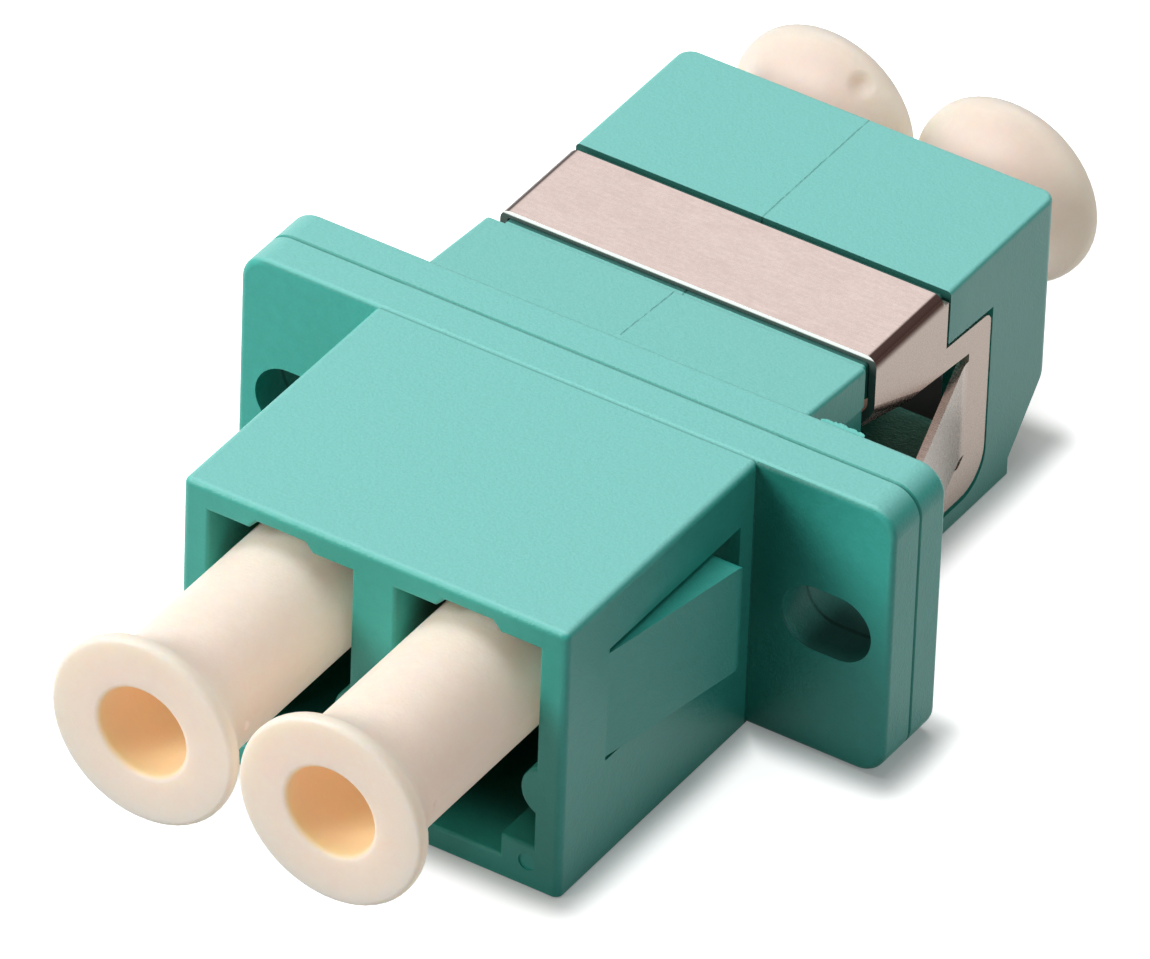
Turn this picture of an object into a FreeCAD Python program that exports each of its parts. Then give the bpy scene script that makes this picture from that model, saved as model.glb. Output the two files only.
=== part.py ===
import FreeCAD, Part
import math
import os

from FreeCAD import Vector

# A duplex fibre adapter with a screw flange, in millimetres.
# The origin is the middle of the flange's seat face, the face that lies on the panel.
# +X runs along the flange, +Y through the panel along the fibres, +Z away from the latch side.
# Two moulded half housings meet inside the flange and trap a pair of sleeve holders.
# A folded sheet clip springs over the rear half, and a dust cap plugs each of the four ports.

# Fibre line
port_pitch = 6.25
fibre_height = 1.40
ferrule_diameter = 1.25
sleeve_diameter = 1.62
sleeve_length = 6.80
sleeve_slot = 0.35

# Flange and its screw slots
flange_ear = 4.58
flange_height = 9.30
flange_half_thickness = 1.40
flange_corner = 0.90
flange_edge = 0.20
seam_break = 0.07
screw_from_end = 2.10
screw_slot_width = 2.20
screw_slot_length = 3.00

# Housing outsides: walls round the ports, then steps from the front half to the rear one
side_wall = 0.895
roof_wall = 0.83
floor_wall = 0.75
rear_block_side_step = 0.06
front_reach = 9.84
rear_reach = 13.62
front_edge = 0.22
rear_edge = 0.15
foot_edge = 0.05
front_corner_radius = 0.24
rear_corner_radius = 0.50
rear_block_top_step = 0.45
shoulder_length = 3.05
shoulder_edge = 0.10
shoulder_overlap = 0.35
shoulder_step_at_flange = 0.01
shoulder_step_at_groove = 0.27
shoulder_depth = 1.60
rear_chamfer_length = 2.10
rear_chamfer_height = 2.45
rear_foot_height = 0.60

# Port openings, measured from the fibre line
port_width = 4.80
port_rise = 2.40
port_drop = 5.30
port_land = 3.20
port_mouth_edge = 0.12
bore_rise = 2.28
latch_channel_width = 2.62
shoulder_height = 0.70
rail_top_drop = 1.80
rail_bottom_drop = 3.40
rail_proud = 0.50
key_notch_width = 2.14
key_notch_top_width = 1.60
front_key_notch_rise = 0.30
rear_key_notch_rise = 0.09
ejector_mark_diameter = 0.56
ejector_mark_depth = 0.06
ejector_mark_inset = 1.09
ejector_mark_height = 0.86

# Snap arms in the sides of the front half
arm_root_from_front = 2.24
arm_end_from_flange = 1.85
arm_window_from_flange = 0.75
arm_below_top = 1.98
arm_above_base = 3.65
arm_slit = 0.15
arm_thickness = 0.80
arm_ramp_deg = 9.4
arm_corner = 0.45
arm_end_edge = 0.30

# Sleeve holders
holder_tube_diameter = 2.50
holder_tube_edge = 0.14
holder_lip_length = 0.50
holder_lip_clearance = 0.06
holder_plate = 1.20
holder_plate_step = 0.22
holder_plate_corner = 0.40
holder_seat_gap = 0.02
sleeve_clearance = 0.05
sleeve_end_play = 0.05

# Panel clip
sheet = 0.24
clip_seat_gap = 0.03
clip_bend_radius = 0.12
clip_stand = 0.08
clip_front_gap = 0.64
clip_top_length = 3.64
clip_side_length = 6.40
clip_rear_gap = 0.38
clip_side_rear_gap = 0.10
clip_above_base = 0.79
clip_bottom_gap = 0.18
clip_hook_below_top = 2.01
clip_hook_fall = 0.15
clip_hook_gap = 0.10
clip_hook_corner = 0.35
clip_foot_corner = 1.20
finger_below_top = 3.26
finger_above_base = 2.30
finger_head_slit = 0.28
finger_foot_slit = 0.31
finger_slit_corner = 0.30
finger_root_from_rear = 1.15
finger_angle_deg = 17.5
finger_bend_radius = 1.40
finger_lead = 0.25
finger_reach = 6.45
finger_tip_angle_deg = 32.0
finger_tip_radius = 0.50
finger_tip_length = 0.55
window_rise = 0.58
flap_length = 2.60
flap_height = 1.02
flap_corner_drop = 0.13
flap_angle_deg = 38.0
flap_bend_radius = 0.40
flap_relief = 0.25

# Dust caps
cap_stem_diameter = 4.30
cap_rim_diameter = 6.06
cap_rim_round = 0.43
cap_flare_round = 2.53
cap_flare_from_end = 2.35
front_cap_reach = 6.90
cap_full_length_inside = 3.00
front_cap_end_gap = 0.54
rear_cap_end_gap = 0.25
cap_bore_diameter = 2.85
cap_bore_depth = 8.00
cap_web = 1.00
cap_socket_clearance = 0.06
cap_edge = 0.14
cap_mouth_edge = 0.18
cap_nose_diameter = 3.60
cap_nose_chamfer = 0.30
cap_nub_diameter = 0.36
cap_nub_height = 0.10
cap_nub_from_end = 2.00
cap_nub_angle_deg = 1.0

# Places that follow from the sizes above
seat_y = 0.0
seam_y = seat_y - flange_half_thickness
flange_front_y = seam_y - flange_half_thickness
front_face_y = flange_front_y - front_reach
rear_face_y = seat_y + rear_reach
mating_y = seam_y
front_cap_y = front_face_y - front_cap_reach
cap_length = mating_y - holder_plate - front_cap_end_gap - front_cap_y
cap_full_length = front_cap_reach + cap_full_length_inside
rear_cap_y = mating_y + holder_plate + rear_cap_end_gap + cap_length
port_centres = (-port_pitch / 2, port_pitch / 2)
port_floor_z = fibre_height - port_drop
bore_top_z = fibre_height + bore_rise
port_outer_x = port_pitch / 2 + port_width / 2
half_body = port_outer_x + side_wall
half_block = half_body - rear_block_side_step
base_z = port_floor_z - floor_wall
front_top_z = fibre_height + port_rise + roof_wall
half_flange = half_body + flange_ear
screw_x = half_flange - screw_from_end
shoulder_top_at_flange = front_top_z - shoulder_step_at_flange
shoulder_top_at_groove = front_top_z - shoulder_step_at_groove
rear_block_top = front_top_z - rear_block_top_step
arm_top = front_top_z - arm_below_top
arm_bottom = base_z + arm_above_base
clip_outer_z = rear_block_top + clip_stand
clip_bottom = base_z + clip_above_base
clip_hook_height = clip_outer_z - clip_hook_below_top
finger_top = clip_outer_z - finger_below_top
finger_bottom = base_z + finger_above_base
window_low = finger_bottom - finger_foot_slit
window_head = finger_top + window_rise
groove_floor_z = clip_outer_z - sheet - clip_seat_gap
core_half = half_block - sheet - clip_seat_gap
groove_front_y = seat_y + shoulder_length
clip_front_y = groove_front_y + clip_front_gap
clip_top_rear_y = clip_front_y + clip_top_length
clip_side_rear_y = clip_front_y + clip_side_length
block_front_y = clip_top_rear_y + clip_rear_gap
recess_rear_y = clip_side_rear_y + clip_side_rear_gap
recess_floor_z = clip_bottom - clip_bottom_gap
finger_root_y = clip_side_rear_y - finger_root_from_rear
holder_half_length = sleeve_length / 2 + sleeve_end_play
holder_tip = holder_half_length + holder_lip_length
holder_reach = holder_plate + holder_seat_gap

# Working values: a cut reaches this far past a face, two joined tools share this much,
# and two places count as one within this distance
OVER = 1.0
SHARED = 0.01
SAME = 1e-4
# How far the middle of a quarter round lies in from each side, for a radius of one
ROUND_INSET = 1 - math.sqrt(0.5)


def block(x, y, z):
    """A box between the two ends given for each axis."""
    size = (x[1] - x[0], y[1] - y[0], z[1] - z[0])
    return Part.makeBox(size[0], size[1], size[2], Vector(x[0], y[0], z[0]))


def trace(place, start, *steps):
    """A closed face: each step is a point, or a pair of points for an arc through the first."""
    edges = []
    here = start
    for step in steps + (start,):
        if isinstance(step[0], tuple):
            through, end = step
            edges.append(Part.Arc(place(*here), place(*through), place(*end)).toShape())
            here = end
        elif math.dist(step, here) > SAME:
            edges.append(Part.makeLine(place(*here), place(*step)))
            here = step
    return Part.Face(Part.Wire(edges))


def along_x(outline, x):
    """Extrudes an outline of (y, z) points between two values of x."""
    face = trace(lambda y, z: Vector(x[0], y, z), *outline)
    return face.extrude(Vector(x[1] - x[0], 0, 0))


def along_y(outline, y):
    """Extrudes an outline of (x, z) points between two values of y."""
    face = trace(lambda x, z: Vector(x, y[0], z), *outline)
    return face.extrude(Vector(0, y[1] - y[0], 0))


def along_z(outline, z):
    """Extrudes an outline of (x, y) points between two values of z."""
    face = trace(lambda x, y: Vector(x, y, z[0]), *outline)
    return face.extrude(Vector(0, 0, z[1] - z[0]))


def rounded(low, high, radius):
    """Outline of a rectangle between two corners, all four corners round."""
    corners = []
    centres = (
        (high[0] - radius, low[1] + radius, -90),
        (high[0] - radius, high[1] - radius, 0),
        (low[0] + radius, high[1] - radius, 90),
        (low[0] + radius, low[1] + radius, 180),
    )
    for across, up, angle in centres:
        ring = [math.radians(angle + turn) for turn in (0, 45, 90)]
        corners.append([(across + radius * math.cos(a), up + radius * math.sin(a)) for a in ring])
    steps = [corners[0][0]]
    for first, middle, last in corners:
        steps.append(first)
        steps.append((middle, last))
    return steps


def edges_where(shape, test):
    """The straight or curved edges whose two ends and middle all pass a test."""
    found = []
    for edge in shape.Edges:
        middle = edge.valueAt((edge.FirstParameter + edge.LastParameter) / 2)
        points = [vertex.Point for vertex in edge.Vertexes] + [middle]
        if all(test(point) for point in points):
            found.append(edge)
    return found


def on(value, target):
    """Whether two places along an axis are the same."""
    return abs(value - target) < SAME


def mirrored(shape):
    """The same shape on the other side of the middle plane."""
    return shape.mirror(Vector(0, 0, 0), Vector(1, 0, 0))


BOTH_SIDES = (lambda shape: shape, mirrored)


def cylinder_y(radius, x, z, y):
    """A cylinder along +Y between two values of y."""
    return Part.makeCylinder(radius, y[1] - y[0], Vector(x, y[0], z), Vector(0, 1, 0))


def port_outline(centre, notch_rise):
    """Opening of one port: body window, key notch, two side rails and the latch channel."""
    half = port_width / 2
    top = fibre_height + port_rise
    rail_top = fibre_height - rail_top_drop
    rail_bottom = fibre_height - rail_bottom_drop
    ledge = port_floor_z + shoulder_height
    nose = ((rail_top + rail_bottom) / 2, half - rail_proud)
    right = [
        (key_notch_width / 2, top),
        (half, top),
        (half, rail_top),
        ((nose[1], nose[0]), (half, rail_bottom)),
        (half, ledge),
        (latch_channel_width / 2, ledge),
        (latch_channel_width / 2, port_floor_z),
    ]
    left = [
        (-latch_channel_width / 2, port_floor_z),
        (-latch_channel_width / 2, ledge),
        (-half, ledge),
        (-half, rail_bottom),
        ((-nose[1], nose[0]), (-half, rail_top)),
        (-half, top),
        (-key_notch_width / 2, top),
        (-key_notch_top_width / 2, top + notch_rise),
        (key_notch_top_width / 2, top + notch_rise),
    ]

    def shift(step):
        if isinstance(step[0], tuple):
            return (shift(step[0]), shift(step[1]))
        return (step[0] + centre, step[1])

    return [shift(step) for step in right + left]


def port_tool(centre, face_y, inward, end_y, notch_rise):
    """The space of one port: a profiled mouth, then a plain square bore to end_y."""
    land_y = face_y + inward * port_land
    mouth_span = sorted((face_y - inward * OVER, land_y))
    bore_span = sorted((land_y - inward * SHARED, end_y))
    mouth = along_y(port_outline(centre, notch_rise), mouth_span)
    bore = block(
        (centre - port_width / 2, centre + port_width / 2),
        bore_span,
        (port_floor_z, bore_top_z),
    )
    return mouth.fuse(bore)


def soften_mouths(housing, face_y):
    """Rounds the edges of the port openings in one end face."""
    def in_mouth(point):
        inside = abs(point.x) < port_outer_x + SAME
        return on(point.y, face_y) and inside and point.z > port_floor_z - SAME

    return housing.makeFillet(port_mouth_edge, edges_where(housing, in_mouth))


def flange_half(y, broken_y, rounded_y):
    """One half of the flange plate with its two screw slots."""
    plate = along_y(
        rounded(
            (-half_flange, -flange_height / 2),
            (half_flange, flange_height / 2),
            flange_corner,
        ),
        y,
    )
    plate = plate.makeFillet(flange_edge, edges_where(plate, lambda p: on(p.y, rounded_y)))
    plate = plate.makeChamfer(seam_break, edges_where(plate, lambda p: on(p.y, broken_y)))
    half = screw_slot_length / 2
    for centre in (-screw_x, screw_x):
        slot = along_y(
            rounded(
                (centre - half, -screw_slot_width / 2),
                (centre + half, screw_slot_width / 2),
                screw_slot_width / 2 - SAME,
            ),
            (y[0] - OVER, y[1] + OVER),
        )
        plate = plate.cut(slot)
    return plate


def housing_block(half_width, y, top_z, top_edge, open_y=None, corner_radius=0):
    """A full-width block of a housing, soft along its length and round at its open end."""
    outline = [(y[0], base_z), (y[1], base_z), (y[1], top_z[1]), (y[0], top_z[0])]
    solid = along_x(outline, (-half_width, half_width))
    if open_y is not None:
        upright = edges_where(solid, lambda p: on(p.y, open_y) and on(abs(p.x), half_width))
        solid = solid.makeFillet(corner_radius, upright)
    for upper, radius in ((True, top_edge), (False, foot_edge)):
        runs = [
            edge
            for edge in solid.Edges
            if edge.BoundBox.YLength > y[1] - y[0] - 2 * corner_radius - SHARED
            and (edge.CenterOfMass.z > 0) == upper
        ]
        solid = solid.makeFillet(radius, runs)
    return solid


def snap_arm():
    """The wedge that springs out of the side wall, on the +X side."""
    root_y = front_face_y + arm_root_from_front
    end_y = flange_front_y - arm_end_from_flange
    swell = (end_y - root_y) * math.tan(math.radians(arm_ramp_deg))
    inner_x = half_body - arm_thickness
    plan = [
        (inner_x, root_y - OVER),
        (half_body, root_y - OVER),
        (half_body, root_y),
        (half_body + swell, end_y),
        (inner_x, end_y),
    ]
    wedge = along_z(plan, (arm_bottom, arm_top))
    tip = edges_where(wedge, lambda p: on(p.y, end_y) and on(p.x, half_body + swell))
    wedge = wedge.makeFillet(arm_end_edge, tip)
    side = rounded((root_y - 2 * OVER, arm_bottom), (end_y, arm_top), arm_corner)
    return wedge.common(along_x(side, (inner_x - OVER, half_body + swell + OVER)))


def arm_window():
    """The gap that frees a snap arm from the wall round it, on the +X side."""
    root_y = front_face_y + arm_root_from_front
    return block(
        (half_body - arm_thickness - OVER, half_body + OVER),
        (root_y, flange_front_y - arm_window_from_flange),
        (arm_bottom - arm_slit, arm_top + arm_slit),
    )


def front_housing():
    """The front half: a square tunnel block with snap arms, and the front of the flange."""
    shell = housing_block(
        half_body,
        (front_face_y, seam_y),
        (front_top_z, front_top_z),
        front_edge,
        front_face_y,
        front_corner_radius,
    )
    housing = shell.fuse(flange_half((flange_front_y, seam_y), seam_y, flange_front_y))
    for side in BOTH_SIDES:
        housing = housing.cut(side(arm_window())).fuse(side(snap_arm()))
    housing = housing.cut(along_y(holder_outline(0), (seam_y - holder_reach, seam_y + OVER)))
    notch = front_key_notch_rise
    for centre in port_centres:
        tool = port_tool(centre, front_face_y, 1, seam_y - holder_plate / 2, notch)
        housing = housing.cut(tool)
    for side in (-1, 1):
        mark = cylinder_y(
            ejector_mark_diameter / 2,
            side * (half_body - ejector_mark_inset),
            base_z + ejector_mark_height,
            (front_face_y - OVER, front_face_y + ejector_mark_depth),
        )
        housing = housing.cut(mark)
    return soften_mouths(housing.removeSplitter(), front_face_y)


def side_recess():
    """The recess for the clip's side plate, on the +X side, open to the front."""
    hook = clip_hook_height + clip_hook_gap
    corner = clip_foot_corner
    drop = corner * ROUND_INSET
    outline = [
        (groove_front_y, recess_floor_z),
        (recess_rear_y - corner, recess_floor_z),
        ((recess_rear_y - drop, recess_floor_z + drop), (recess_rear_y, recess_floor_z + corner)),
        (recess_rear_y, hook - clip_hook_fall),
        (block_front_y, hook),
        (block_front_y, rear_block_top + OVER),
        (groove_front_y, rear_block_top + OVER),
    ]
    return along_x(outline, (core_half, half_body + OVER))


def finger_window():
    """The window in the side wall that the clip's finger and flap spring into."""
    outline = [
        (clip_front_y - flap_relief, finger_bottom),
        (finger_root_y, finger_bottom),
        (finger_root_y, finger_top),
        (clip_front_y + flap_length, window_head + flap_relief),
        (clip_front_y - flap_relief, window_head + flap_height + flap_relief),
    ]
    return along_x(outline, (port_outer_x - OVER, half_body + OVER))


def rear_housing():
    """The rear half: a shouldered front, a clip groove and the rear block."""
    shoulder_top = (shoulder_top_at_flange, shoulder_top_at_groove)
    shoulder_y = (seat_y - shoulder_overlap, groove_front_y)
    shoulder = housing_block(half_body, shoulder_y, shoulder_top, rear_edge)
    shoulder_rear = edges_where(
        shoulder,
        lambda p: on(p.y, groove_front_y) and on(p.z, shoulder_top_at_groove),
    )
    shoulder = shoulder.makeFillet(shoulder_edge, shoulder_rear)
    rear_block = housing_block(
        half_block,
        (groove_front_y, rear_face_y),
        (rear_block_top, rear_block_top),
        rear_edge,
        rear_face_y,
        rear_corner_radius,
    )
    shell = shoulder.fuse(rear_block)
    chamfer = along_x(
        [
            (rear_face_y - rear_chamfer_length, base_z - OVER),
            (rear_face_y + OVER, base_z - OVER),
            (rear_face_y + OVER, base_z + rear_foot_height + rear_chamfer_height),
            (rear_face_y, base_z + rear_foot_height + rear_chamfer_height),
            (rear_face_y - rear_chamfer_length, base_z + rear_foot_height),
        ],
        (-half_body - OVER, half_body + OVER),
    )
    shell = shell.cut(chamfer)
    groove = block(
        (-half_body - OVER, half_body + OVER),
        (groove_front_y, block_front_y),
        (groove_floor_z, rear_block_top + OVER),
    )
    shell = shell.cut(groove)
    pocket = block(
        (core_half, half_body + OVER),
        (seat_y, groove_front_y + SHARED),
        (recess_floor_z, shoulder_top_at_flange - shoulder_depth),
    )
    for side in BOTH_SIDES:
        shell = shell.cut(side(side_recess())).cut(side(pocket)).cut(side(finger_window()))
    crests = edges_where(
        shell,
        lambda p: on(abs(p.x), core_half)
        and on(p.z, groove_floor_z)
        and groove_front_y - SAME < p.y < block_front_y + SAME,
    )
    shell = shell.makeFillet(clip_bend_radius, crests)
    housing = shell.fuse(flange_half((seam_y, seat_y), seam_y, seat_y))
    housing = housing.cut(along_y(holder_outline(0), (seam_y - OVER, seam_y + holder_reach)))
    notch = rear_key_notch_rise
    for centre in port_centres:
        tool = port_tool(centre, rear_face_y, -1, seam_y + holder_plate / 2, notch)
        housing = housing.cut(tool)
    return soften_mouths(housing.removeSplitter(), rear_face_y)


def holder_outline(gap):
    """Outline of the holder plates, or of their pocket when the gap is nothing."""
    half = port_outer_x + holder_plate_step - gap
    return rounded(
        (-half, port_floor_z - holder_plate_step + gap),
        (half, bore_top_z + holder_plate_step - gap),
        holder_plate_corner,
    )


def sleeve_holder(outward):
    """A plate with two tubes; each tube holds one end of an alignment sleeve."""
    plate_y = sorted((mating_y, mating_y + outward * holder_plate))
    tip_y = mating_y + outward * holder_tip
    holder = along_y(holder_outline(holder_seat_gap), plate_y)
    for centre in port_centres:
        span = sorted((mating_y, tip_y))
        tube = cylinder_y(holder_tube_diameter / 2, centre, fibre_height, span)
        rim = edges_where(tube, lambda p: on(p.y, tip_y))
        holder = holder.fuse(tube.makeChamfer(holder_tube_edge, rim))
    for centre in port_centres:
        inner = sorted((mating_y, mating_y + outward * holder_half_length))
        chamber = cylinder_y(
            sleeve_diameter / 2 + sleeve_clearance, centre, fibre_height, inner
        )
        mouth = cylinder_y(
            ferrule_diameter / 2 + holder_lip_clearance,
            centre,
            fibre_height,
            sorted((mating_y, tip_y + outward * OVER)),
        )
        holder = holder.cut(chamber).cut(mouth)
    return holder


def alignment_sleeve(centre):
    """A split tube that lines up the two ferrules."""
    span = (mating_y - sleeve_length / 2, mating_y + sleeve_length / 2)
    tube = cylinder_y(sleeve_diameter / 2, centre, fibre_height, span)
    tube = tube.cut(cylinder_y(ferrule_diameter / 2, centre, fibre_height, span))
    slot = block(
        (centre - sleeve_slot / 2, centre + sleeve_slot / 2),
        (span[0] - OVER, span[1] + OVER),
        (fibre_height, fibre_height + sleeve_diameter),
    )
    return tube.cut(slot)


def folded_strip(start, heading, moves, thickness):
    """Outline of a bent strip; each move is a run (length) or a bend (degrees left, radius)."""
    left, right = [], []
    here = start
    angle = math.radians(heading)

    def side(point, direction, sign):
        reach = sign * thickness / 2
        return (point[0] - reach * math.sin(direction), point[1] + reach * math.cos(direction))

    left.append(side(here, angle, 1))
    right.append(side(here, angle, -1))
    for move in moves:
        if len(move) == 1:
            here = (here[0] + move[0] * math.cos(angle), here[1] + move[0] * math.sin(angle))
            left.append(side(here, angle, 1))
            right.append(side(here, angle, -1))
            continue
        turn = math.radians(move[0])
        radius = (move[1] + thickness / 2) * (1 if turn > 0 else -1)
        centre = (here[0] - radius * math.sin(angle), here[1] + radius * math.cos(angle))

        def at(direction):
            across = radius * math.sin(direction)
            return (centre[0] + across, centre[1] - radius * math.cos(direction))

        halfway = angle + turn / 2
        angle = angle + turn
        middle = at(halfway)
        here = at(angle)
        left.append((side(middle, halfway, 1), side(here, angle, 1)))
        right.append((side(middle, halfway, -1), side(here, angle, -1)))
    return left + backwards(right)


def backwards(steps):
    """The same outline steps taken from the far end to the start."""
    ends = [step[1] if isinstance(step[0], tuple) else step for step in steps]
    turned = [ends[-1]]
    for number in range(len(steps) - 1, 0, -1):
        step = steps[number]
        before = ends[number - 1]
        turned.append((step[0], before) if isinstance(step[0], tuple) else before)
    return turned


def clip_finger():
    """The spring finger of the +X side: it leaves the plate at its root and bends out."""
    middle_x = core_half + clip_seat_gap + sheet / 2
    moves = [
        (finger_lead,),
        (finger_angle_deg, finger_bend_radius),
        (finger_reach,),
        (-finger_tip_angle_deg, finger_tip_radius),
        (finger_tip_length,),
    ]
    start = (middle_x, finger_root_y + finger_lead)
    return along_z(folded_strip(start, -90, moves, sheet), (finger_bottom, finger_top))


def clip_flap():
    """The corner of the +X side plate under its top strip, curled in along a diagonal."""
    plate_x = core_half + clip_seat_gap
    hinge_y = clip_front_y + flap_length
    hinge_length = math.hypot(flap_length, flap_height)
    lean = math.degrees(math.atan2(flap_length, flap_height))
    curl = [(-flap_angle_deg, flap_bend_radius), (flap_length,)]
    strip = along_z(
        folded_strip((plate_x + sheet / 2, 0), -90, curl, sheet),
        (-OVER, hinge_length + OVER),
    )
    strip.rotate(Vector(0, 0, 0), Vector(1, 0, 0), lean)
    strip.translate(Vector(0, hinge_y, window_head))
    corner = [
        (hinge_y, window_head),
        (clip_front_y, window_head - flap_corner_drop),
        (clip_front_y, window_head + flap_height),
    ]
    return strip.common(along_x(corner, (plate_x - flap_length, plate_x + sheet)))


def clip_side_tools():
    """What is cut away from the +X side plate: the rear notch, the window and the foot."""
    hook = clip_hook_height
    corner = clip_hook_corner
    drop = corner * ROUND_INSET
    hook_rear = hook - clip_hook_fall
    bend_low_z = clip_outer_z - sheet - clip_bend_radius
    notch = along_x(
        [
            (clip_top_rear_y, clip_outer_z + OVER),
            (clip_top_rear_y, bend_low_z),
            (block_front_y - clip_hook_gap, bend_low_z),
            (block_front_y - clip_hook_gap, hook),
            (clip_side_rear_y - corner, hook_rear),
            ((clip_side_rear_y - drop, hook_rear - drop), (clip_side_rear_y, hook_rear - corner)),
            (clip_side_rear_y + OVER, hook_rear - corner),
            (clip_side_rear_y + OVER, clip_outer_z + OVER),
        ],
        (-half_body - OVER, half_body + OVER),
    )
    window = along_x(
        [
            (clip_front_y - OVER, window_low),
            (finger_root_y - finger_slit_corner, window_low),
            (finger_root_y, window_low + finger_slit_corner),
            (finger_root_y, finger_top + finger_head_slit),
            (clip_front_y + flap_length, window_head),
            (clip_front_y, window_head + flap_height),
            (clip_front_y - OVER, window_head + flap_height),
        ],
        (-half_body - OVER, half_body + OVER),
    )
    foot = clip_foot_corner
    drop = foot * ROUND_INSET
    toe = along_x(
        [
            (clip_side_rear_y - foot, clip_bottom),
            (
                (clip_side_rear_y - drop, clip_bottom + drop),
                (clip_side_rear_y, clip_bottom + foot),
            ),
            (clip_side_rear_y + OVER, clip_bottom + foot),
            (clip_side_rear_y + OVER, clip_bottom - OVER),
            (clip_side_rear_y - foot, clip_bottom - OVER),
        ],
        (-half_body - OVER, half_body + OVER),
    )
    return notch, window, toe


def panel_clip():
    """One folded sheet over the top and both sides of the rear half."""
    middle = clip_bend_radius + sheet / 2
    top_run = 2 * (core_half + clip_seat_gap - clip_bend_radius)
    side_run = clip_outer_z - sheet / 2 - middle - clip_bottom
    start = (core_half + clip_seat_gap + sheet / 2, clip_bottom)
    moves = [
        (side_run,),
        (90, clip_bend_radius),
        (top_run,),
        (90, clip_bend_radius),
        (side_run,),
    ]
    outline = folded_strip(start, 90, moves, sheet)
    clip = along_y(outline, (clip_front_y, clip_side_rear_y))
    for tool in clip_side_tools():
        clip = clip.cut(tool)
    for side in BOTH_SIDES:
        clip = clip.fuse(side(clip_finger())).fuse(side(clip_flap()))
    return clip.removeSplitter()


def dust_cap(centre, outer_y, outward):
    """A soft plug turned about the fibre line; it slips over the holder tube inside the port."""
    length = cap_length
    rim = cap_rim_diameter / 2
    stem = cap_stem_diameter / 2
    bore = cap_bore_diameter / 2
    socket = holder_tube_diameter / 2 + cap_socket_clearance
    nose = cap_nose_diameter / 2
    taper = cap_nose_chamfer
    step = cap_full_length
    rounds = cap_rim_round + cap_flare_round
    swing = math.acos(1 - (rim - stem) / rounds)
    flare_start = cap_flare_from_end - rounds * math.sin(swing)

    def rim_back(turn):
        drop = cap_rim_round * (1 - math.cos(turn))
        return (rim - drop, flare_start + cap_rim_round * math.sin(turn))

    flare_middle = (
        stem + cap_flare_round * (1 - math.cos(swing / 2)),
        cap_flare_from_end - cap_flare_round * math.sin(swing / 2),
    )
    soft = cap_mouth_edge
    edge = cap_edge * ROUND_INSET
    outline = [
        (bore, soft),
        ((bore + soft * ROUND_INSET, soft * ROUND_INSET), (bore + soft, 0)),
        (rim - cap_edge, 0),
        ((rim - edge, edge), (rim, cap_edge)),
        (rim, flare_start),
        (rim_back(swing / 2), rim_back(swing)),
        (flare_middle, (stem, cap_flare_from_end)),
        (stem, step),
        (nose, step + stem - nose),
        (nose, length - taper),
        (nose - taper / 2, length),
        (socket, length),
        (socket, cap_bore_depth + cap_web),
        (0, cap_bore_depth + cap_web),
        (0, cap_bore_depth),
        (bore, cap_bore_depth),
    ]
    face = trace(lambda r, s: Vector(centre + r, outer_y - outward * s, fibre_height), *outline)
    axis_point = Vector(centre, outer_y, fibre_height)
    cap = face.revolve(axis_point, Vector(0, 1, 0), 360)
    nub = Part.makeSphere(
        cap_nub_diameter / 2,
        Vector(
            centre + (stem + cap_nub_height - cap_nub_diameter / 2),
            outer_y - outward * cap_nub_from_end,
            fibre_height,
        ),
    )
    nub.rotate(axis_point, Vector(0, 1, 0), cap_nub_angle_deg)
    return cap.fuse(nub)


def check_solid(name, shape):
    """A node is one closed solid; anything else is a mistake in its sizes."""
    solids = shape.Solids
    if len(solids) != 1 or not solids[0].isValid():
        raise ValueError(f"{name} has {len(solids)} solids")
    return solids[0]


def main():
    os.makedirs("parts", exist_ok=True)
    left, right = port_centres
    nodes = {
        "front_housing": front_housing(),
        "rear_housing": rear_housing(),
        "panel_clip": panel_clip(),
        "front_sleeve_holder": sleeve_holder(-1),
        "rear_sleeve_holder": sleeve_holder(1),
        "left_alignment_sleeve": alignment_sleeve(left),
        "right_alignment_sleeve": alignment_sleeve(right),
        "front_left_dust_cap": dust_cap(left, front_cap_y, -1),
        "front_right_dust_cap": dust_cap(right, front_cap_y, -1),
        "rear_left_dust_cap": dust_cap(left, rear_cap_y, 1),
        "rear_right_dust_cap": dust_cap(right, rear_cap_y, 1),
    }
    for name, shape in nodes.items():
        solid = check_solid(name, shape)
        solid.exportStep(f"parts/{name}.step")
        print(name, round(solid.Volume, 2), "mm3")


main()
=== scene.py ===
import bmesh
import bpy
import math
import random
from mathutils import Matrix, Vector


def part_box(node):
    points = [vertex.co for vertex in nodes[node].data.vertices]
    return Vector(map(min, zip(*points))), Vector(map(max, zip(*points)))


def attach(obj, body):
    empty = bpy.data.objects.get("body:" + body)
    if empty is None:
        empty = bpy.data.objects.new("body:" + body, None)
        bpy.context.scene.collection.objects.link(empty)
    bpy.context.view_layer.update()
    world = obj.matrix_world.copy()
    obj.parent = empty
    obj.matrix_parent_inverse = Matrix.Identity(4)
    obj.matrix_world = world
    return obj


# Looks for a duplex fibre adapter: moulded aqua housing, stainless spring clip, cream dust caps.
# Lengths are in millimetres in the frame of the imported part: X along the flange, Y along the
# fibres, Z up. Blender works in metres, so a length is scaled where it is handed over.

MM = 0.001

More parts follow.
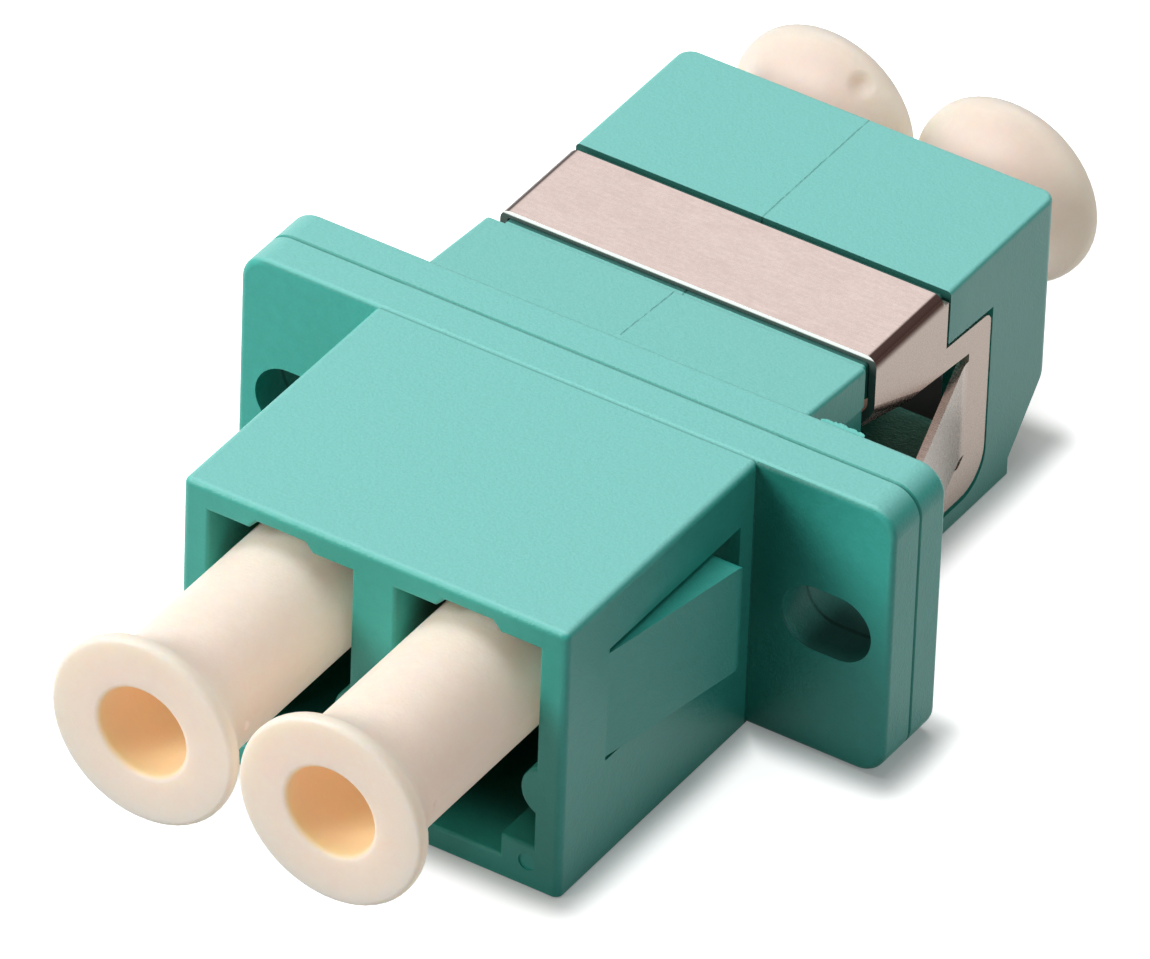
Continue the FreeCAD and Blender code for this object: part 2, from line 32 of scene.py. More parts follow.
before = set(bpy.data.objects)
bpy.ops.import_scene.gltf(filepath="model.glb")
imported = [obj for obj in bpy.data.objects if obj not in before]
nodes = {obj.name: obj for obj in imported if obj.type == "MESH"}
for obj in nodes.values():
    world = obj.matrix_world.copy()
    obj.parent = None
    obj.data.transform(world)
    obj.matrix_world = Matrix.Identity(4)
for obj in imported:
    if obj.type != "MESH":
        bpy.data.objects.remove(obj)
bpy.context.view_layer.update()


def span(name):
    """The lowest and highest corner of a part, in millimetres."""
    low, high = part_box(name)
    return low / MM, high / MM


def rgb(red, green, blue):
    """An opaque colour."""
    return (red, green, blue, 1.0)


# Places on the part that the finishes follow
front_low = span("front_housing")[0]
clip_high = span("panel_clip")[1]
cap_low, cap_high = span("front_right_dust_cap")
base_z = front_low.z
fibre_z = (cap_low.z + cap_high.z) / 2
port_x = (cap_low.x + cap_high.x) / 2
body_half = 6.42
body_top = 4.63
body_middle_y = 0.5
body_half_length = 13.1
flange_half = 11.0
flange_front_y = -2.8
seam_y = -1.4
groove_front_y = 3.57
clip_front_y = 3.69
block_front_y = 7.71
port_half = 5.45
port_top = 3.95
pocket_half = 6.3
pocket_top = 3.9
screw_x = 8.9
slot_half_width = 1.10
slot_half_length = 1.50
slot_half_depth = 1.37
dent_centre = (-1.60, 15.68, 3.50)
dent_radius = 0.50

# In the marks below, a pair gives where a mark starts and where it is full. A tilt is one part
# of the direction that a face looks in, and a cover, dirt or shade is how much of a mark shows. A
# grain gives its features to a millimetre, its layers of detail, how rough they are and its
# stretch.
# A rough or bump value that ends in a grain's name is how far that grain changes the surface.

# Housing colours and marks
deep_aqua = rgb(0.040, 0.400, 0.335)
pale_aqua = rgb(0.055, 0.460, 0.395)
# Painted sheen: the housing's tops are painted paler where light glances off them.
top_sheen_aqua = rgb(0.240, 0.625, 0.590)
inner_deep_aqua = rgb(0.045, 0.38, 0.33)
inner_pale_aqua = rgb(0.06, 0.44, 0.38)
# Painted shade deep in the ports and in the pocket under the clip.
hollow_shade_aqua = rgb(0.002, 0.060, 0.035)
# Painted shade on the housing's front face.
front_shade_aqua = rgb(0.03, 0.16, 0.12)
# Painted shade on the flange's front next to the body's right side.
corner_shade_aqua = rgb(0.006, 0.12, 0.095)
# Painted sheen on the rear of the body's sides.
side_sheen_aqua = rgb(0.26, 0.66, 0.58)
# Dark colour for painted shade in the screw slots, the groove and the crease at the flange's top,
# and for the dark seam and flow line.
dirt_and_shade_aqua = rgb(0.008, 0.070, 0.056)
moulding_flow = {"per_mm": 0.16, "detail": 3.0, "rough": 0.55, "stretch": (1.0, 0.55, 1.0)}
moulding_mottle = {"per_mm": 2.6, "detail": 3.0, "rough": 0.6}
moulding_fine = {"per_mm": 11.0, "detail": 2.0, "rough": 0.6}
moulding_shares = (0.40, 0.35, 0.25)
moulding_spread = 0.20
moulding_rough = 0.40
moulding_rough_fine = 0.16
moulding_rough_mottle = 0.10
moulding_bump_fine = 0.012
moulding_bump_mottle = 0.014
moulding_refraction = 1.5
moulding_reflection = 0.35
# Where the painted sheen on the tops falls, and how much of it shows.
top_sheen_tilt = (0.55, 0.98)
top_sheen_height = (3.4, 3.9)
top_sheen_cover = 0.84
top_sheen_grain = 0.50
mouth_fade = (0.3, 2.6)
# How much painted shade shows in the hollows; there the sheen is taken away too.
hollow_shade_cover = 0.80
rear_hollow_shade_cover = 0.17
rear_hollow_y = (0.0, 1.0)
hollow_sheen_loss = 0.7
# Painted shade on the front face.
front_shade_width = 0.08
front_shade_cover = 0.30
# Where the painted shade at the flange's corner falls, and how much shows.
corner_side_x = (body_half - 0.1, body_half)
corner_fade_x = (body_half, 10.6)
corner_depth = 0.06
corner_shade_cover = 0.75
# Where the painted sheen on the rear of the sides falls, and how much shows.
side_sheen_tilt = (0.70, 0.95)
side_sheen_y = (6.5, 9.0)
side_sheen_cover = 0.50
# Painted shade in the screw slots, less on walls that face the light.
slot_lit_tilt = (0.1, 0.8)
slot_lit_loss = 0.85
slot_shade = 0.86
seam_width = 0.10
seam_outside = (body_top - 0.05, body_top)
seam_dirt = 0.50
# Painted shade along the crease where the flange's top meets the body's top.
crease_y = flange_front_y + 0.02
crease_width = 0.06
crease_height = (4.45, 4.6)
crease_shade = 0.40
# Painted shade in the groove under and behind the clip.
groove_height = (2.2, 3.2)
groove_shade = 0.85
line_width = 0.05
line_waver = 0.06
line_height = (3.9, 4.0)
line_start_y = (0.10, 0.16)
line_breaks = (0.25, 0.55)
line_dirt = 0.34
line_depth = 0.02
dirt_and_shade_rough = 0.35

# Clip colours and marks
strip_deep = rgb(0.665, 0.535, 0.49)
strip_pale = rgb(0.74, 0.605, 0.56)
# Painted shade on the strip's sides.
strip_side_shade = rgb(0.237, 0.186, 0.151)
# Painted dark reflection on the bend and on the sides just under it.
strip_bend_shade = rgb(0.030, 0.008, 0.005)
sheared_grey = rgb(0.10, 0.13, 0.12)
# Painted highlight along the top of the cut front edge, shading from pink to white, with a glow of
# its own.
edge_highlight_fringe = rgb(0.42, 0.36, 0.33)
edge_highlight_white = rgb(0.99, 0.98, 0.96)
edge_highlight_glow = rgb(0.42, 0.41, 0.39)
strip_streak = {"per_mm": 8.0, "detail": 3.0, "rough": 0.6, "stretch": (0.14, 1.0, 1.0)}
strip_cloud = {"per_mm": 0.8, "detail": 3.0, "rough": 0.6}
strip_speck = {"per_mm": 9.0, "detail": 2.0, "rough": 0.6}
strip_shares = (0.30, 0.35, 0.35)
strip_spread = 0.20
strip_rough = 0.27
strip_rough_streak = 0.12
strip_rough_speck = 0.10
strip_bump_streak = 0.0012
strip_bump_speck = 0.0010
sheared_tilt = (0.80, 0.95)
sheared_width = 0.05
sheared_sheen_loss = 0.85
sheared_rough = 0.25
# How far down the cut edge the painted highlight reaches.
highlight_depth = (0.08, 0.15)
# Where the painted shade on the strip's sides and on its bend falls, and how much shows.
side_tilt = (0.55, 0.90)
side_shade_cover = 0.85
bend_start_tilt = (0.06, 0.30)
bend_end_tilt = (0.80, 0.97)
bend_height = (3.4, 3.9)
shade_height = (clip_high.z - 0.50, clip_high.z - 0.20)
shade_cover = 0.95

# Cap colours and marks
cream_deep = rgb(0.865, 0.728, 0.635)
cream_pale = rgb(0.905, 0.783, 0.70)
# Painted warm glow down in the bore, where light comes through the plastic.
bore_glow_amber = rgb(0.97, 0.70, 0.38)
# Painted shade on the tops of the rear caps.
rear_top_shade_tan = rgb(0.76, 0.60, 0.53)
# Painted shade in the dent on one rear cap.
dent_shade_tan = rgb(0.62, 0.47, 0.36)
# Colours of a painted glow that stands in for light through the plastic.
glow_cream = rgb(0.74, 0.62, 0.49)
glow_bore = rgb(0.100, 0.082, 0.066)
cream_flow = {"per_mm": 0.35, "detail": 3.0, "rough": 0.55}
cream_mottle = {"per_mm": 3.0, "detail": 3.0, "rough": 0.6}
cream_fine = {"per_mm": 10.0, "detail": 2.0, "rough": 0.6}
cream_shares = (0.40, 0.35, 0.25)
cream_spread = 0.22
cream_rough = 0.46
cream_rough_mottle = 0.16
cream_rough_fine = 0.12
cream_bump_mottle = 0.016
cream_bump_fine = 0.008
cream_refraction = 1.48
cream_soak = 0.80
cream_soak_depth = 1.3
cream_soak_tint = (1.0, 0.66, 0.40)
bore_wall = (1.40, 1.56)
# Where the painted shade on the rear caps' tops and in the dent falls, and how much shows.
rear_cap_y = (10.0, 13.0)
rear_top_shade_tilt = (0.35, 0.90)
rear_top_shade_cover = 0.50
dent_shade_cover = 0.35
dent_depth = 0.13
plug_fade = (0.0, 2.5)
plug_cover = 0.9
glow_all_over = 0.02
glow_front_caps = 0.055
glow_under = 0.11
glow_under_tilt = (-0.3, 0.9)
glow_side = 0.09
glow_rear_side = 0.13
glow_side_tilt = (0.0, 0.9)

# Sleeve colours and marks
ceramic_grey = rgb(0.86, 0.86, 0.84)
ceramic_white = rgb(0.94, 0.94, 0.92)
ceramic_rings = {"per_mm": 8.0, "detail": 2.0, "rough": 0.5, "stretch": (0.1, 3.0, 0.1)}
ceramic_rough = 0.20
ceramic_rough_rings = 0.12
ceramic_bump_rings = 0.002

black = rgb(0, 0, 0)
white = rgb(1, 1, 1)


# Shader building

# Sockets of a mix of two colours, which share their names with other sockets of the same node
MIX_MASK = 0
MIX_UNDER = 6
MIX_OVER = 7
MIX_RESULT = 2

# How far past its half width a band still counts, so that its own edge is inside
BAND_EDGE = (0.005, 0.025)


class Value:
    """A number carried by a socket, which can be used in plain sums."""

    def __init__(self, paint, socket):
        self.paint = paint
        self.socket = socket

    def maths(self, operation, *terms):
        sockets = dict(enumerate(terms))
        return self.paint.node("ShaderNodeMath", {"operation": operation}, sockets)[0]

    def __add__(self, other):
        return self.maths("ADD", self, other)

    def __radd__(self, other):
        return self.maths("ADD", other, self)

    def __sub__(self, other):
        return self.maths("SUBTRACT", self, other)

    def __rsub__(self, other):
        return self.maths("SUBTRACT", other, self)

    def __mul__(self, other):
        return self.maths("MULTIPLY", self, other)

    def __rmul__(self, other):
        return self.maths("MULTIPLY", other, self)

    def __abs__(self):
        return self.maths("ABSOLUTE", self)

    def root(self):
        return self.maths("SQRT", self)

    def most(self, other):
        return self.maths("MAXIMUM", self, other)


class Paint:
    """The nodes of one material, or of the room, worked out in millimetres."""

    def __init__(self, owner):
        owner.use_nodes = True
        self.owner = owner
        self.tree = owner.node_tree
        self.tree.nodes.clear()

    def node(self, kind, settings=None, sockets=None):
        """Adds a node, applies its settings first, then gives its sockets values or links."""
        made = self.tree.nodes.new(kind)
        for key, value in (settings or {}).items():
            setattr(made, key, value)
        for key, value in (sockets or {}).items():
            if isinstance(value, Value):
                self.tree.links.new(value.socket, made.inputs[key])
            else:
                made.inputs[key].default_value = value
        return [Value(self, socket) for socket in made.outputs]

    def read(self, kind, name):
        """One output, by its name, of a node that takes nothing in."""
        for value in self.node(kind):
            if value.socket.name == name:
                return value

    def in_mm(self, spot):
        """A point in metres turned to millimetres."""
        return self.node("ShaderNodeVectorMath", {"operation": "SCALE"}, {0: spot, 3: 1 / MM})[0]

    def parts(self, vector):
        """The x, y and z of a vector."""
        return self.node("ShaderNodeSeparateXYZ", None, {0: vector})

    def place(self):
        """The point on the part, as x, y and z."""
        self.spot = self.in_mm(self.read("ShaderNodeTexCoord", "Object"))
        return self.parts(self.spot)

    def world_place(self):
        """The point in the room, as x, y and z."""
        return self.parts(self.in_mm(self.read("ShaderNodeNewGeometry", "Position")))

    def facing(self):
        """The direction that the surface looks in, as x, y and z."""
        return self.parts(self.read("ShaderNodeNewGeometry", "Normal"))

    def seen(self):
        """1 for what the camera sees, straight, mirrored or through, and 0 for bounced light."""
        ways = ("Is Camera Ray", "Is Glossy Ray", "Is Transmission Ray")
        straight, mirrored, through = [self.read("ShaderNodeLightPath", way) for way in ways]
        return straight + mirrored + through

    def grain(self, per_mm, detail, rough, stretch=(1, 1, 1)):
        """Smooth random tone from 0 to 1 with that many features to a millimetre."""
        times = {"operation": "MULTIPLY"}
        spot = self.node("ShaderNodeVectorMath", times, {0: self.spot, 1: stretch})[0]
        sockets = {"Vector": spot, "Scale": per_mm, "Detail": detail, "Roughness": rough}
        return self.node("ShaderNodeTexNoise", None, sockets)[0]

    def tone(self, grains, shares, spread):
        """Adds up three grains by their shares, and stretches the middle of the sum."""
        coarse, middle, fine = [grain * share for grain, share in zip(grains, shares)]
        return self.span(coarse + middle + fine, 0.5 - spread, 0.5 + spread)

    def span(self, value, low, high):
        """0 where the value is under low, 1 where it is over high, with a soft step between."""
        return self.node(
            "ShaderNodeMapRange",
            {"interpolation_type": "SMOOTHSTEP"},
            {0: value, 1: low, 2: high, 3: 0.0, 4: 1.0},
        )[0]

    def near(self, value, at, width):
        """1 where the value is at a place, and 0 from that width away."""
        return 1 - self.span(abs(value - at), 0.0, width)

    def within(self, value, middle, half):
        """1 where the value is inside a band, edges included, and 0 just outside it."""
        start, end = BAND_EDGE
        return 1 - self.span(abs(value - middle), half + start, half + end)

    def distance(self, x, y, z, centre):
        """How far the point is from another."""
        across, along, up = x - centre[0], y - centre[1], z - centre[2]
        return (across * across + along * along + up * up).root()

    def blend(self, mask, under, over):
        """One colour over another by a mask."""
        return self.node(
            "ShaderNodeMix",
            {"data_type": "RGBA", "clamp_factor": True},
            {MIX_MASK: mask, MIX_UNDER: under, MIX_OVER: over},
        )[MIX_RESULT]

    def bump(self, height):
        """A normal bumped by a height in millimetres."""
        sockets = {"Strength": 1.0, "Distance": MM, "Height": height}
        return self.node("ShaderNodeBump", None, sockets)[0]

    def mix(self, mask, under, over):
        """One shader over another by a mask."""
        return self.node("ShaderNodeMixShader", None, {0: mask, 1: under, 2: over})[0]

    def lit(self, tone, glow):
        """A plain matt grey shader with a glow of its own."""
        matt = self.node("ShaderNodeBsdfDiffuse", None, {0: rgb(tone, tone, tone)})[0]
        light = self.node("ShaderNodeEmission", None, {0: white, 1: glow})[0]
        return self.node("ShaderNodeAddShader", None, {0: matt, 1: light})[0]

    def finish(self, **sockets):
        """Ends a material with one shader, whose sockets are named with lines for spaces."""
        named = {key.replace("_", " "): value for key, value in sockets.items()}
        shader = self.node("ShaderNodeBsdfPrincipled", None, named)[0]
        self.node("ShaderNodeOutputMaterial", None, {0: shader})
        return self.owner


def swing(grain):
    """A grain as a swing to both sides of nothing."""
    return grain - 0.5


# Finishes


def hollows(paint, x, y, z):
    """Two masks of the housing for painted shade: its ports and the pocket in its groove, and the
    groove's walls.
    """
    ports = paint.within(x, 0.0, port_half) * paint.within(z, 0.0, port_top)
    ports = ports * paint.span(body_half_length - abs(y - body_middle_y), *mouth_fade)
    groove_middle = (groove_front_y + block_front_y) / 2
    groove_half = (block_front_y - groove_front_y) / 2
    groove = paint.within(y, groove_middle, groove_half)
    pocket = groove * paint.within(x, 0.0, pocket_half) * paint.within(z, 0.0, pocket_top)
    return ports.most(pocket), groove * paint.span(z, *groove_height)


def screw_bores(paint, x, y, z, facing_x):
    """Painted shade on the walls of the screw slots, less where they face the light."""
    slot = paint.within(abs(x), screw_x, slot_half_length)
    slot = slot * paint.within(z, 0.0, slot_half_width)
    slot = slot * paint.within(y, seam_y, slot_half_depth)
    return slot * (1 - paint.span(facing_x, *slot_lit_tilt) * slot_lit_loss)


def flow_line(paint, x, y, z, mottle):
    """A broken line along the top of the rear half, where two flows of plastic met."""
    line = paint.near(x + swing(mottle) * line_waver, 0.0, line_width)
    line = line * paint.span(z, *line_height) * paint.span(y, *line_start_y)
    return line * paint.span(mottle, *line_breaks)


def flange_corner_shade(paint, x, y):
    """Painted shade on the front of the flange where it meets the body's right side."""
    corner = (1 - paint.span(x, *corner_fade_x)) * paint.span(x, *corner_side_x)
    return corner * paint.within(y, flange_front_y, corner_depth)


def moulded_plastic(name, deep, pale, top_sheen):
    """Satin moulded plastic: spark-eroded grain, faint flow tones, a painted pale sheen on top and
    painted shade in its hollows and creases.
    """
    paint = Paint(bpy.data.materials.new(name))
    x, y, z = paint.place()
    facing_x, facing_y, facing_z = paint.facing()
    flow = paint.grain(**moulding_flow)
    mottle = paint.grain(**moulding_mottle)
    fine = paint.grain(**moulding_fine)
    tone = paint.tone((flow, mottle, fine), moulding_shares, moulding_spread)
    colour = paint.blend(tone, deep, pale)
    # Painted sheen: upward faces near the top are painted paler.
    upward = paint.span(facing_z, *top_sheen_tilt) * paint.span(z, *top_sheen_height)
    colour = paint.blend(upward * (top_sheen_cover + swing(fine) * top_sheen_grain), colour, top_sheen)

    # Painted shade in the ports and the pocket.
    hollow, groove = hollows(paint, x, y, z)
    cover = hollow * (hollow_shade_cover + paint.span(y, *rear_hollow_y) * rear_hollow_shade_cover)
    colour = paint.blend(cover, colour, hollow_shade_aqua)
    # Painted shade on the front face.
    front_shade = paint.near(y, front_low.y, front_shade_width)
    colour = paint.blend(front_shade * front_shade_cover, colour, front_shade_aqua)
    # Painted shade at the flange's corner.
    colour = paint.blend(flange_corner_shade(paint, x, y) * corner_shade_cover, colour, corner_shade_aqua)
    # Painted sheen on the rear of the sides.
    side_sheen = paint.span(facing_x, *side_sheen_tilt) * paint.span(y, *side_sheen_y)
    colour = paint.blend(side_sheen * side_sheen_cover, colour, side_sheen_aqua)

    # Painted shade in the screw slots, the crease and the groove, added to the darker seam and
    # flow line.
    bore = screw_bores(paint, x, y, z, facing_x)
    seam = paint.near(y, seam_y, seam_width) * paint.span(abs(z) + abs(x), *seam_outside)
    crease = paint.near(y, crease_y, crease_width) * paint.span(z, *crease_height)
    line = flow_line(paint, x, y, z, mottle)
    dirt_and_shade = bore * slot_shade + seam * seam_dirt + crease * crease_shade + groove * groove_shade
    dirt_and_shade = dirt_and_shade + line * line_dirt
    rough = moulding_rough + swing(fine) * moulding_rough_fine
    rough = rough + swing(mottle) * moulding_rough_mottle + dirt_and_shade * dirt_and_shade_rough
    height = swing(fine) * moulding_bump_fine + swing(mottle) * moulding_bump_mottle
    return paint.finish(
        Base_Color=paint.blend(dirt_and_shade, colour, dirt_and_shade_aqua),
        # The painted shade in the hollows also loses its sheen, which darkens it further.
        Metallic=hollow * hollow_sheen_loss,
        Roughness=rough,
        IOR=moulding_refraction,
        Specular_IOR_Level=moulding_reflection,
        Normal=paint.bump(height - line * line_depth),
    )


def rolled_sheet():
    """Satin stainless strip: streaks along the strip, painted dark bends and sides, and a painted
    bright highlight on the rolled edge.
    """
    paint = Paint(bpy.data.materials.new("rolled_stainless_strip"))
    x, y, z = paint.place()
    facing_x, facing_y, facing_z = paint.facing()
    streak = paint.grain(**strip_streak)
    cloud = paint.grain(**strip_cloud)
    speck = paint.grain(**strip_speck)
    tone = paint.tone((streak, cloud, speck), strip_shares, strip_spread)
    colour = paint.blend(tone, strip_deep, strip_pale)

    # Painted shade on the sides, and a painted dark reflection on the bend and just under it.
    tilt = abs(facing_x)
    side = paint.span(tilt, *side_tilt)
    bend = paint.span(tilt, *bend_start_tilt) * (1 - paint.span(tilt, *bend_end_tilt))
    bend = bend * paint.span(z, *bend_height)
    shade = (side * paint.span(z, *shade_height)).most(bend)
    colour = paint.blend(side * side_shade_cover, colour, strip_side_shade)
    colour = paint.blend(shade * shade_cover, colour, strip_bend_shade)

    # The cut front edge is darker, with a painted highlight along its top.
    sheared = paint.span(abs(facing_y), *sheared_tilt)
    sheared = sheared * paint.near(y, clip_front_y, sheared_width)
    bright = sheared * (1 - paint.span(clip_high.z - z, *highlight_depth))
    colour = paint.blend(sheared, colour, sheared_grey)
    colour = paint.blend(bright, colour, edge_highlight_fringe)
    colour = paint.blend(bright, colour, edge_highlight_white)
    rough = strip_rough + swing(streak) * strip_rough_streak
    rough = rough + swing(speck) * strip_rough_speck + sheared * sheared_rough
    height = swing(streak) * strip_bump_streak + swing(speck) * strip_bump_speck
    return paint.finish(
        Base_Color=colour,
        Metallic=1.0 - sheared * sheared_sheen_loss,
        Roughness=rough,
        # The painted highlight glows as well.
        Emission_Color=paint.blend(bright, black, edge_highlight_glow),
        Emission_Strength=1.0,
        Normal=paint.bump(height),
    )


def cream_plastic():
    """Soft waxy cream plastic that lets light through, with a painted glow for more of that light
    and a painted warm glow down in the bore.
    """
    paint = Paint(bpy.data.materials.new("soft_cream_plastic"))
    x, y, z = paint.place()
    facing_x, facing_y, facing_z = paint.facing()
    flow = paint.grain(**cream_flow)
    mottle = paint.grain(**cream_mottle)
    fine = paint.grain(**cream_fine)
    tone = paint.tone((flow, mottle, fine), cream_shares, cream_spread)
    colour = paint.blend(tone, cream_deep, cream_pale)

    across = abs(x) - port_x
    up = z - fibre_z
    inside = 1 - paint.span((across * across + up * up).root(), *bore_wall)
    # Painted warm glow down in the bore.
    colour = paint.blend(inside, colour, bore_glow_amber)
    # Painted shade on the rear caps' tops and in the dent.
    rear = paint.span(y, *rear_cap_y)
    rear_top_shade = rear * paint.span(facing_z, *rear_top_shade_tilt)
    colour = paint.blend(rear_top_shade * rear_top_shade_cover, colour, rear_top_shade_tan)
    dent = 1 - paint.span(paint.distance(x, y, z, dent_centre), 0.0, dent_radius)
    colour = paint.blend(dent * dent_shade_cover, colour, dent_shade_tan)

    # Painted glow standing in for light through the plastic: some all over, more on the front
    # caps, underneath and on the right sides, none down in the ports.
    under = 1 - paint.span(facing_z, *glow_under_tilt)
    side = paint.span(facing_x, *glow_side_tilt)
    glow = glow_all_over + (1 - rear) * glow_front_caps + under * glow_under
    glow = glow + side * (glow_side + rear * glow_rear_side)
    plug = paint.span(body_half_length - abs(y - body_middle_y), *plug_fade)
    through = paint.blend(glow, black, glow_cream)
    through = paint.blend(plug * plug_cover, through, black)
    through = paint.blend(inside, through, glow_bore)
    rough = cream_rough + swing(mottle) * cream_rough_mottle + swing(fine) * cream_rough_fine
    height = swing(mottle) * cream_bump_mottle + swing(fine) * cream_bump_fine
    return paint.finish(
        Base_Color=colour,
        Roughness=rough,
        IOR=cream_refraction,
        Subsurface_Weight=cream_soak,
        Subsurface_Radius=cream_soak_tint,
        Subsurface_Scale=cream_soak_depth * MM,
        Emission_Color=through,
        Emission_Strength=1.0,
        Normal=paint.bump(height - dent * dent_depth),
    )


def ground_ceramic():
    """White ground ceramic with faint turning marks round the sleeve."""
    paint = Paint(bpy.data.materials.new("ground_ceramic"))
    paint.place()
    rings = paint.grain(**ceramic_rings)
    return paint.finish(
        Base_Color=paint.blend(rings, ceramic_grey, ceramic_white),
        Roughness=ceramic_rough + swing(rings) * ceramic_rough_rings,
        Normal=paint.bump(swing(rings) * ceramic_bump_rings),
    )


aqua = moulded_plastic("aqua_moulded_plastic", deep_aqua, pale_aqua, top_sheen_aqua)
holder_aqua = moulded_plastic(
    "aqua_inner_plastic", inner_deep_aqua, inner_pale_aqua, inner_pale_aqua
)
steel = rolled_sheet()
cream = cream_plastic()
ceramic = ground_ceramic()

coats = {
    "front_housing": (aqua, "aqua_housing"),
    "rear_housing": (aqua, "aqua_housing"),
    "panel_clip": (steel, "stainless_clip"),
    "front_sleeve_holder": (holder_aqua, "holder_plastic"),
    "rear_sleeve_holder": (holder_aqua, "holder_plastic"),
    "left_alignment_sleeve": (ceramic, "ceramic_sleeve"),
    "right_alignment_sleeve": (ceramic, "ceramic_sleeve"),
    "front_left_dust_cap": (cream, "cream_cap"),
    "front_right_dust_cap": (cream, "cream_cap"),
    "rear_left_dust_cap": (cream, "cream_cap"),
    "rear_right_dust_cap": (cream, "cream_cap"),
}
for name, (material, slot_name) in coats.items():
    piece = nodes[name]
    piece.data.materials.clear()
    piece.data.materials.append(material)


# Flash on the flange's rear top edge. It is a thin wedge: its root lies in the flange, and its
# ragged edge stands out of the corner by up to the reach, back and up.
flash_from = 6.80
flash_to = 8.30
flash_step = 0.035
flash_taper = 0.2
flash_root = (-0.06, 4.57)
flash_edge = (-0.02, 4.62)
flash_reach = (0.11, 0.07)
flash_root_half = 0.02
flash_edge_half = 0.008
flash_first = 0.5
flash_least = 0.01
flash_range = (0.1, 1.0)
flash_change = 0.45
flash_seed = 7


def flash_ring(shape, along, reach):
    """The four corners of the wedge at one place along the flange."""
    edge = [start + reach * longest for start, longest in zip(flash_edge, flash_reach)]
    corners = (
        (flash_root, -flash_root_half),
        (edge, -flash_edge_half),
        (edge, flash_edge_half),
        (flash_root, flash_root_half),
    )
    return [
        shape.verts.new((along * MM, place[0] * MM, (place[1] + rise) * MM))
        for place, rise in corners
    ]


def flange_flash():
    """A ragged sliver of flash left along the flange's rear top edge."""
    chance = random.Random(flash_seed)
    shape = bmesh.new()
    height = flash_first
    previous = None
    for index in range(int((flash_to - flash_from) / flash_step)):
        along = flash_from + index * flash_step
        ends = min(1.0, (along - flash_from) / flash_taper, (flash_to - along) / flash_taper)
        height += (chance.uniform(*flash_range) - height) * flash_change
        ring = flash_ring(shape, along, max(flash_least, height * ends))
        if previous:
            for corner in range(4):
                after = (corner + 1) % 4
                shape.faces.new((previous[corner], ring[corner], ring[after], previous[after]))
        else:
            shape.faces.new(ring)
        previous = ring
    shape.faces.new(previous[::-1])
    bmesh.ops.recalc_face_normals(shape, faces=shape.faces)
    mesh = bpy.data.meshes.new("flange_flash")
    shape.to_mesh(mesh)
    shape.free()
    piece = bpy.data.objects.new("flange_flash", mesh)
    bpy.context.scene.collection.objects.link(piece)
    mesh.materials.append(aqua)
    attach(piece, "adapter")


flange_flash()


# Floor: bright where it is seen, greyer as a source of bounced light
floor_size = 4000
floor_gap = 0.02
floor_tone = 0.80
floor_glow = 0.82
# Less glow near the part's foot, as a painted contact shadow.
contact_shade_glow = floor_glow * 0.2
contact_shade_fade = 1.3
bounce_tone = 0.22
# Painted shadow under the body and behind it under the rear caps, seen only by the camera.
under_shadow_tone = 0.05
under_shadow_half = 4.2
under_shadow_end_y = (11.0, 11.4)
cap_shadow_x = 2.4
cap_shadow_side = (0.7, 2.2)
cap_shadow_start_y = (10.6, 11.2)
cap_shadow_end_y = (14.3, 16.8)
foot_half = 6.32
foot_middle_y = -0.56
foot_half_length = 11.95
flange_foot_half = 10.8
flange_foot_half_length = 1.1


def plane(name, centre, facing, width, depth):
    """A flat sheet with its front towards a direction."""
    across, along = width * MM / 2, depth * MM / 2
    corners = [(-across, -along, 0), (across, -along, 0), (across, along, 0), (-across, along, 0)]
    mesh = bpy.data.meshes.new(name)
    mesh.from_pydata(corners, [], [(0, 1, 2, 3)])
    sheet = bpy.data.objects.new(name, mesh)
    bpy.context.scene.collection.objects.link(sheet)
    sheet.rotation_mode = "QUATERNION"
    sheet.rotation_quaternion = Vector(facing).to_track_quat("Z", "Y")
    sheet.location = Vector(centre) * MM
    return sheet


def beside(paint, x, y, middle_y, half, half_length):
    """1 under a box that stands on the floor and at its foot, fading out over a short way: a
    painted contact shadow.
    """
    across = (abs(x) - half).most(0.0)
    along = (abs(y - middle_y) - half_length).most(0.0)
    return 1 - paint.span((across * across + along * along).root(), 0.0, contact_shade_fade)


